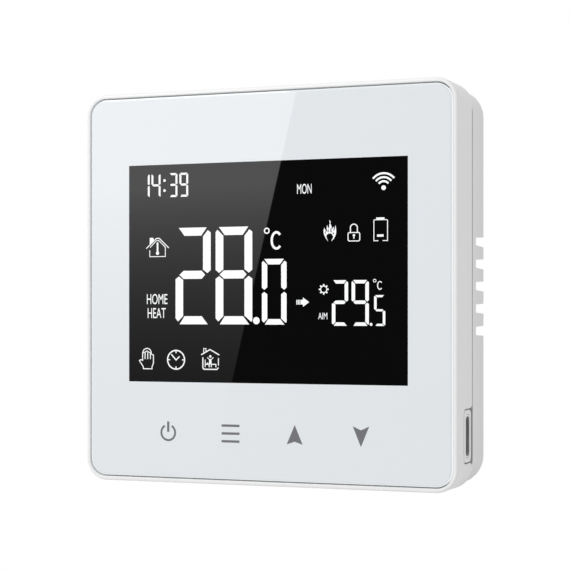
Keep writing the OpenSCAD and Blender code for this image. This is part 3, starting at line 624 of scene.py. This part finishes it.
words = [
    ("MON", 7.65, 10.95, 19.6, 21.7), ("HOME", -27.9, -22.9, -3.8, -1.55),
    ("HEAT", -27.7, -23.3, -6.85, -4.65), ("AIM", 12.45, 14.5, -7.1, -5.7),
]


def glowing(name, colour, glow):
    """A white film that the display's lamps shine through, a little uneven."""
    finish = moulded(name, colour, 0.3, 0.0, 0.01)
    shader = finish.node_tree.nodes["Principled BSDF"]
    shader.inputs["Emission Color"].default_value = (*colour, 1)
    shader.inputs["Emission Strength"].default_value = glow
    return finish


signs = house + hand + dial + at_home + flame + padlock + cell + signal + gear + arrow
lit_white = glowing("figure_white", (0.82, 0.83, 0.84), 0.25)
printed("display_figures", figures + signs, lit_white, "white_ink", words)

# --- Key signs ------------------------------------------------------------------------------
# Grey print on the glass over the four touch springs: power, menu, up and down.
key_x = [place[0] / mm for place in key_places]
key_row = key_z / mm
power = [
    ribbon(arc(key_x[0], key_row - .3, 1.68, 1.68, 120, 420, 30), .44),
    ribbon([(key_x[0], key_row - .15), (key_x[0], key_row + 2.1)], .52),
]
menu = [
    bar(key_x[1] - 2.1, key_x[1] + 2.1, key_row - .15 + dz - .25, key_row - .15 + dz + .25)
    for dz in (-1.7, 0, 1.7)
]
up = [[[(key_x[2], key_row + 2.05), (key_x[2] - 1.8, key_row - 2.1), (key_x[2], key_row - 1.5),
        (key_x[2] + 1.8, key_row - 2.1)]]]
down = [[[(key_x[3], key_row - 2.2), (key_x[3] - 1.8, key_row + 2.1), (key_x[3], key_row + 1.3),
          (key_x[3] + 1.8, key_row + 2.1)]]]
printed("key_signs", power + menu + up + down, moulded("key_grey", (0.178, 0.178, 0.19), 0.3), "white_ink")

# --- Charging socket ------------------------------------------------------------------------
# A small white plate, clipped into the right side, frames the metal shell of the charging socket. A
# seam runs round it, and at its rear corners two reliefs open towards the parting line.
plate_front_y, plate_end_y = plate_low.y + 0.3 * mm, parting_y - 0.7 * mm
plate_x, plate_edge_r = plate_high.x + 0.2 * mm, 0.12 * mm
plate = block("socket_surround", (plate_low.x, plate_front_y, plate_low.z),
              (plate_x, plate_end_y, plate_high.z), plate_corner_r, 8, axis=0)
shell_low, shell_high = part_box("charging_shell")
mouth_r = 1.1 * mm
combine(plate, [
    block("socket_hole", shell_low - Vector((0, 0.1, 0.1)) * mm, shell_high + Vector((2, 0.1, 0.1)) * mm,
          mouth_r + 0.1 * mm, 12, axis=0),
], "DIFFERENCE")
bpy.ops.object.mode_set(mode="EDIT")
select("EDGE", lambda edge: all(v.co.x > plate_x - 0.01 * mm for v in edge.verts))
bpy.ops.mesh.bevel(offset=plate_edge_r, segments=2, affect="EDGES")
bpy.ops.object.mode_set(mode="OBJECT")
smooth(plate)
dress(plate, white_shell, "front_unit", "shell_white", "socket_plate")


def metal(name, colour, roughness, scratches=0.15):
    """A rolled or plated metal, with a fine brushed grain and a gloss that differs from place to place."""
    finish = moulded(name, colour, roughness, scratches, 0.06)
    finish.node_tree.nodes["Principled BSDF"].inputs["Metallic"].default_value = 1
    return finish


def copies(piece, places):
    """Copies of a piece, each with its own mesh, at (x, y, z, degrees about the depth), as one piece."""
    name = piece.name
    bpy.ops.object.select_all(action="DESELECT")
    for *place, turn in places:
        twin = piece.copy()
        twin.data = piece.data.copy()
        twin.location, twin.rotation_euler.y = place, math.radians(turn)
        bpy.context.collection.objects.link(twin)
        twin.select_set(True)
    bpy.data.objects.remove(piece)
    bpy.context.view_layer.objects.active = bpy.context.selected_objects[0]
    bpy.ops.object.join()
    return named(name)


tube_t, tube_rim = 0.3 * mm, 0.1 * mm
mouth_x = plate_high.x + 0.1 * mm
tube = block("socket_shell", (shell_low.x, shell_low.y, shell_low.z), (mouth_x, shell_high.y, shell_high.z),
             mouth_r, 12, axis=0)
bpy.ops.object.mode_set(mode="EDIT")
select("FACE", lambda face: face.normal.x > 0.99)
bpy.ops.mesh.inset(thickness=tube_rim)
bpy.ops.transform.translate(value=(0.06 * mm, 0, 0))
bpy.ops.mesh.inset(thickness=tube_t - tube_rim)
bpy.ops.mesh.extrude_region_move(TRANSFORM_OT_translate={"value": (shell_low.x + tube_t - mouth_x, 0, 0)})
bpy.ops.object.mode_set(mode="OBJECT")
smooth(tube)
dress(tube, metal("socket_steel", (0.80, 0.80, 0.80), 0.5), "front_unit", "steel", "charging_shell")
tongue_low, tongue_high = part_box("charging_tongue")
blade = block("socket_tongue", tongue_low, tongue_high, 0.12 * mm, 3, axis=0)
dress(blade, moulded("socket_plastic", (0.09, 0.09, 0.09), 0.4), "front_unit", "chip_black",
      "charging_tongue")
contact = block("socket_contacts", (tongue_high.x - 3.6 * mm, tongue_low.y - 0.03 * mm, -0.12 * mm),
                (tongue_high.x - 0.3 * mm, tongue_low.y + 0.05 * mm, 0.12 * mm), 0.06 * mm, 2)
tongue_z = (tongue_low.z + tongue_high.z) / 2
contact_count, contact_pitch = 12, 0.5 * mm
across = tongue_high.y - tongue_low.y - 0.02 * mm
contacts = copies(contact, [
    (0, side * across, tongue_z + (k - (contact_count - 1) / 2) * contact_pitch, 0)
    for k in range(contact_count) for side in (0, 1)
])
gold = metal("contact_gold", (0.83, 0.62, 0.25), 0.25)
dress(contacts, gold, "front_unit", "gold_pins")

# --- Rear housing ---------------------------------------------------------------------------
# The grey base, screwed flat to the wall: a shallow tray with air slots in both sides, two slots for
# the wall's screws, an opening for the wires, pockets for the tongues' noses, and four feet for the
# relay board. A rebate runs round its front edge, and its faces carry painted shade for the dark joint.
rear_corner_r = 6.3 * mm
rear_edge_r, rebate_edge_r = 0.8 * mm, 0.08 * mm
rebate_l, rebate_t = 0.35 * mm, 0.9 * mm
rear_shell = slab("rear_shell", rear_high.x, rear_low.y + rebate_l, rear_high.y, rear_corner_r, 16)
bpy.ops.object.mode_set(mode="EDIT")
select("FACE", lambda face: face.normal.y > 0.99)
bpy.ops.mesh.bevel(offset=rear_edge_r, segments=5, affect="EDGES")
select("FACE", lambda face: face.normal.y < -0.99)
bpy.ops.mesh.bevel(offset=rebate_edge_r, segments=2, affect="EDGES")
select("FACE", lambda face: face.normal.y < -0.99)
bpy.ops.mesh.inset(thickness=rebate_t)
bpy.ops.mesh.extrude_region_move(TRANSFORM_OT_translate={"value": (0, -rebate_l, 0)})
bpy.ops.object.mode_set(mode="OBJECT")
floor_y = -2 * mm
slot_pitch = 4.8 * mm
slot_front_y, slot_end_y = -7 * mm, 0.8 * mm
slot_h, slot_wall_h = 1.75 * mm, 2.25 * mm
slot_depth = wall_t + 3 * mm
slots = []
for side in (-1, 1):
    for k in range(-2, 3):
        ends = side * (rear_high.x - slot_depth), side * (rear_high.x + past)
        cut = block("air_slot", (min(ends), slot_front_y, k * slot_pitch - slot_h / 2),
                    (max(ends), slot_end_y, k * slot_pitch + slot_h / 2))
        bpy.ops.object.mode_set(mode="EDIT")
        select("FACE", lambda face: face.normal.y > 0.99)
        bpy.ops.transform.resize(value=(1, 1, slot_wall_h / slot_h))
        bpy.ops.object.mode_set(mode="OBJECT")
        slots.append(cut)
feet_x, feet_z = 22.2 * mm, (-14.2 * mm, 19.2 * mm)
foot_r, foot_h = 2.5 * mm, 0.6 * mm
feet = [
    rod("foot", (x, z), foot_r, floor_y - foot_h, floor_y + 0.5 * mm)
    for x in (-feet_x, feet_x) for z in feet_z
]
fixing_x, fixing_l, fixing_w = 30 * mm, 7 * mm, 4.2 * mm
fixings = [
    block("fixing", (x - fixing_l / 2, floor_y - past, -fixing_w / 2),
          (x + fixing_l / 2, past, fixing_w / 2), fixing_w / 2 - 0.01 * mm, 10)
    for x in (-fixing_x, fixing_x)
]
entry_x, entry_low_z, entry_high_z = 14 * mm, -36 * mm, -19 * mm
pocket_z = rear_high.z - wall_t
pockets = [
    block("pocket", (x - tongue_w / 2 - move_gap, front_high.y - nose_l - move_gap, z - nose_h),
          (x + tongue_w / 2 + move_gap, front_high.y + move_gap, z + nose_h))
    for x in (-tongue_x, tongue_x) for z in (-pocket_z, pocket_z)
]
combine(rear_shell, [
    slab("tray", rear_high.x - wall_t, rear_low.y - past, floor_y, rear_corner_r - wall_t),
    *slots, *fixings, *pockets,
    block("wire_entry", (-entry_x, floor_y - past, entry_low_z), (entry_x, past, entry_high_z), 1 * mm, 6),
], "DIFFERENCE")
combine(rear_shell, feet, "UNION")
smooth(rear_shell)
dress(rear_shell, moulded("shell_grey", (0.85, 0.85, 0.85), 0.42), "wall_base", "shell_grey", "rear_housing")
# The rebate's faces get a darker grey: painted shade for the shadow in the joint between base and front.
rear_shell.data.materials.append(moulded("painted_joint_shade", (0.5, 0.5, 0.5), 0.6))
for face in rear_shell.data.polygons:
    if 0.01 * mm < face.center.y - rear_low.y < rebate_l + 0.1 * mm:
        face.material_index = 1

# --- Display stack --------------------------------------------------------------------------
# Behind the glass: tape, two sheets of display glass between dark films, an acrylic plate lit by lamps
# at its left edge, a white film, a frame that holds them, and a striped rubber strip to the board.
def finished(finish, *names):
    """Gives a finished material to pieces that are shown as the CAD has them."""
    for name in names:
        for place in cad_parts[name].material_slots:
            place.material = finish


def striped(name, first, last, pitch, roughness):
    """A moulded finish with even stripes across the width, such as layers of rubber."""
    finish = moulded(name, first, roughness)
    nodes, link = finish.node_tree.nodes, finish.node_tree.links.new
    wave, colours = nodes.new("ShaderNodeTexWave"), nodes["Mix"]
    wave.inputs["Scale"].default_value = math.tau / 20 / pitch
    colours.inputs[7].default_value = (*last, 1)
    link(nodes["Texture Coordinate"].outputs["Object"], wave.inputs["Vector"])
    link(wave.outputs["Fac"], colours.inputs[0])
    return finish


bright = metal("bright_metal", (0.74, 0.73, 0.70), 0.28)
steel = metal("screw_steel", (0.56, 0.55, 0.53), 0.34)
chip_plastic = moulded("chip_plastic", (0.02, 0.02, 0.022), 0.48)
white_nylon = moulded("white_nylon", (0.78, 0.77, 0.72), 0.45)
finished(moulded("tape_foam", (0.035, 0.035, 0.035), 0.8, 0.4, 0.1), "glass_tape", "battery_pad")
finished(moulded("polariser_film", (0.016, 0.016, 0.02), 0.12, 0.05), "front_polariser", "rear_polariser")
finished(moulded("display_glass", (0.34, 0.38, 0.36), 0.06, 0.02),
         "display_front_glass", "display_rear_glass")
finished(moulded("guide_acrylic", (0.78, 0.83, 0.85), 0.08, 0.05), "light_guide")
finished(moulded("white_film", (0.88, 0.88, 0.87), 0.4), "reflector_sheet")
finished(moulded("lamp_resin", (0.85, 0.74, 0.36), 0.3), "backlight_lamps")
finished(moulded("holder_white", (0.80, 0.80, 0.77), 0.42), "display_holder")
finished(striped("rubber_layers", (0.04, 0.04, 0.04), (0.62, 0.50, 0.46), 0.2 * mm, 0.7), "contact_strip")
finished(bright, "touch_springs", "radio_shield", "clock_crystal", "room_sensor")

# --- Front boards ---------------------------------------------------------------------------
# The main board with its chips, the radio board soldered to it, and rows of small parts in between.
# Green lacquer over copper tracks; each chip has flat legs on two or on four sides.
def board_green(name, lacquer=(0.012, 0.10, 0.035), track=(0.022, 0.145, 0.055), scale=200):
    """Green lacquer, lighter where a copper track runs below it, seen on both faces of a board."""
    finish = moulded(name, lacquer, 0.33, 0.1)
    nodes, link = finish.node_tree.nodes, finish.node_tree.links.new
    split, flat, tracks = (
        nodes.new("ShaderNode" + kind) for kind in ("SeparateXYZ", "CombineXYZ", "TexBrick")
    )
    tracks.inputs["Scale"].default_value = scale
    tracks.inputs["Brick Width"].default_value, tracks.inputs["Row Height"].default_value = 1.6, 0.16
    tracks.inputs["Mortar Size"].default_value = 0.03
    tracks.inputs["Mortar Smooth"].default_value = 0.1
    tracks.inputs["Color1"].default_value = tracks.inputs["Color2"].default_value = (*lacquer, 1)
    tracks.inputs["Mortar"].default_value = (*track, 1)
    link(nodes["Texture Coordinate"].outputs["Object"], split.inputs[0])
    link(split.outputs["X"], flat.inputs["X"])
    link(split.outputs["Z"], flat.inputs["Y"])
    link(flat.outputs[0], tracks.inputs["Vector"])
    colours, patches = nodes["Mix"], nodes.new("ShaderNodeMapRange")
    patches.inputs["From Min"].default_value, patches.inputs["From Max"].default_value = 0.47, 0.52
    link(nodes["Noise Texture"].outputs["Fac"], patches.inputs["Value"])
    link(patches.outputs[0], colours.inputs[0])
    link(tracks.outputs["Color"], colours.inputs[7])
    return finish


lacquer = board_green("board_lacquer")
finished(lacquer, "main_board", "lamp_strip", "relay_board")
finished(board_green("radio_lacquer", (0.01, 0.05, 0.09), (0.02, 0.085, 0.14), 300), "radio_board")
finished(chip_plastic, "driver_chip", "processor_chip", "touch_chip", "link_base")
finished(gold, "link_pins")
finished(steel, "board_screws")
finished(moulded("bead_epoxy", (0.23, 0.07, 0.025), 0.25), "sensor_bead")


def legs(name, chip, pitch, board_y, facing, sides=(0, 90, 180, 270)):
    """The bent legs of a chip, on its sides at these turns from the top, for the rear (1) or front (-1)."""
    low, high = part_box(chip)
    middle, half = (low + high) / 2, (high - low) / 2
    t, w = 0.16 * mm, pitch * 0.45
    foot = block(name, (-w / 2, min(0, facing * t), 0.4 * mm), (w / 2, max(0, facing * t), 0.9 * mm))
    bpy.ops.object.mode_set(mode="EDIT")
    select("FACE", lambda face: face.normal.z < -0.99)
    bpy.ops.mesh.extrude_region_move(TRANSFORM_OT_translate={"value": (0, facing * 0.35 * mm, -0.15 * mm)})
    bpy.ops.mesh.extrude_region_move(TRANSFORM_OT_translate={"value": (0, 0, -0.35 * mm)})
    bpy.ops.object.mode_set(mode="OBJECT")
    places = []
    for turn in sides:
        ahead, across = (half.x, half.z) if turn % 180 else (half.z, half.x)
        count = int((2 * across - 1.2 * mm) / pitch) + 1
        c, s = math.cos(math.radians(turn)), math.sin(math.radians(turn))
        for k in range(count):
            along = (k - (count - 1) / 2) * pitch
            places.append((middle.x + along * c + ahead * s, board_y, middle.z - along * s + ahead * c, turn))
    dress(copies(foot, places), bright, "front_unit", "bright_metal")


rear_face, front_face = board_high.y, board_low.y
leg_pitch = 0.65 * mm
legs("processor_legs", "processor_chip", leg_pitch, rear_face, 1)
legs("touch_legs", "touch_chip", leg_pitch, rear_face, 1, (0, 180))
legs("driver_legs", "driver_chip", leg_pitch, front_face, -1)


def small_parts(name, places, board_y, body, facing=1):
    """Small two-ended parts soldered flat to a board: dark or tan bodies, each with bright metal ends."""
    low_y, high_y = sorted((0, facing * 0.45 * mm))
    spots = [(x * mm, board_y, z * mm, turn) for x, z, turn in places]
    tan = moulded(name + "_tan", (0.36, 0.24, 0.13), 0.4)
    kinds = ("dark", chip_plastic, "chip_black"), ("tan", tan, "bead_brown")
    for k, (kind, finish, slot) in enumerate(kinds):
        core = block(name + "_" + kind, (-0.6 * mm, low_y, -0.38 * mm), (0.6 * mm, high_y, 0.38 * mm),
                     0.06 * mm, 2, 0)
        dress(copies(core, spots[k::2]), finish, body, slot)
    ends = block(name + "_ends", (-0.8 * mm, low_y, -0.42 * mm), (0.8 * mm, high_y, 0.42 * mm),
                 0.08 * mm, 2, 0)
    combine(ends, [block("gap", (-0.45 * mm, -1 * mm, -1 * mm), (0.45 * mm, 1 * mm, 1 * mm))], "DIFFERENCE")
    dress(copies(ends, spots), bright, body, "bright_metal")


small_parts("front_parts", [
    *[(x, z, 90) for x in (8, 10.5, 13, 15.5) for z in (-3.5, -7)],
    *[(x, -17, 0) for x in (19, 22, 25, 28)], *[(x, -20, 0) for x in (19, 22, 28)],
    *[(x, z, 90) for x in (-9.5, 3) for z in (-29.5, -32, -34.5)],
    *[(31.5, z, 0) for z in (-31.4, -29, -26.6, -9, -6.5, -4)],
    *[(x, -2, 90) for x in (-31, -28, -25)], *[(x, 35, 0) for x in (-22, -19, -16, 10, 13)],
    *[(x, 1.5, 90) for x in (14, 17, 20)], *[(32.5, z, 90) for z in (3, 6)],
], rear_face, "front_unit")
radio_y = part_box("radio_board")[1].y
aerial_x, aerial_pitch, aerial_low, aerial_high = 17, 1.3, 27.6, 31.4
printed("radio_aerial", [ribbon([
    (aerial_x + aerial_pitch * k, z) for k in range(11)
    for z in ((aerial_low, aerial_high) if k % 2 else (aerial_high, aerial_low))
], .5)], gold, "gold_pins", (), radio_y + film_t / 2)

# --- Battery --------------------------------------------------------------------------------
# A flat cell in silver foil on a foam pad, with amber tape over its end, a paper label, and two leads
# to a small white plug.
finished(metal("battery_foil", (0.62, 0.63, 0.65), 0.38, 0.5), "battery_cell")
finished(white_nylon, "battery_plug", "battery_socket")
finished(moulded("lead_skin", (0.42, 0.02, 0.02), 0.4), "battery_leads")
battery_low, battery_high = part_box("battery_cell")
tape_t = Vector((0, 1, 1)) * 0.05 * mm
band = block("battery_tape", (battery_high.x - 4.5 * mm, *(battery_low - tape_t).yz),
             (battery_high.x - 1.2 * mm, *(battery_high + tape_t).yz), 1.1 * mm, 6, axis=0)
dress(band, moulded("amber_tape", (0.62, 0.33, 0.03), 0.2), "front_unit", "tape")
label = block("battery_label", (battery_low.x + 6 * mm, battery_high.y - 0.1 * mm, battery_low.z + 5 * mm),
              (battery_low.x + 27 * mm, battery_high.y + 0.05 * mm, battery_high.z - 5 * mm), 0.8 * mm, 4)
dress(label, moulded("label_paper", (0.80, 0.80, 0.76), 0.6, 0.3), "front_unit", "holder_white")

# --- Relay board ----------------------------------------------------------------------------
# In the base: a board on four feet with a blue relay, a diode, a capacitor in its sleeve, the socket
# for the front unit's pins, and a green terminal block for the heating's wires.
finished(moulded("relay_case", (0.015, 0.11, 0.38), 0.3, 0.15), "relay")
finished(moulded("capacitor_sleeve", (0.02, 0.022, 0.045), 0.28), "smoothing_capacitor")
finished(chip_plastic, "relay_diode", "link_socket")
finished(moulded("terminal_green", (0.02, 0.27, 0.08), 0.42), "terminal_block")
finished(bright, "terminal_strips", *["wire_clamp_%d" % k for k in (1, 2, 3)])
finished(steel, "relay_board_screws", *["terminal_screw_%d" % k for k in (1, 2, 3)])
relay_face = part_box("relay_board")[0].y
small_parts("base_parts", [
    *[(x, 12, 90) for x in (-12, -9.5, -7, 8, 10.5)], *[(x, 8.5, 0) for x in (10, 13)],
    *[(x, -13.5, 0) for x in (-14, -11)], *[(x, -5, 90) for x in (18.5, 21)], (18.5, -12, 90),
], relay_face, "wall_base", -1)
diode_low, diode_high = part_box("relay_diode")
paint_t = Vector((0, 1, 1)) * 0.03 * mm
stripe = block("diode_band", (diode_low.x + 0.7 * mm, *(diode_low - paint_t).yz),
               (diode_low.x + 1.3 * mm, *(diode_high + paint_t).yz), 0.05 * mm, 2, axis=0)
dress(stripe, moulded("diode_mark", (0.6, 0.6, 0.58), 0.5), "wall_base", "holder_white")
end = block("diode_ends", (-0.3 * mm, -1.2 * mm, -0.7 * mm), (0.25 * mm, 0, 0.7 * mm), 0.15 * mm, 3, axis=2)
diode_z = (diode_low.z + diode_high.z) / 2
ends = copies(end, [(x, relay_face, diode_z, 0) for x in (diode_low.x, diode_high.x)])
dress(ends, bright, "wall_base", "bright_metal")
sleeve_low, sleeve_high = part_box("smoothing_capacitor")
sleeve_at = (sleeve_low.x + sleeve_high.x) / 2, (sleeve_low.z + sleeve_high.z) / 2
top_r = (sleeve_high.x - sleeve_low.x) / 2 - 0.4 * mm
capacitor_top = rod("capacitor_top", sleeve_at, top_r, sleeve_low.y - 0.05 * mm, sleeve_low.y + 0.3 * mm)
dress(capacitor_top, bright, "wall_base", "bright_metal")
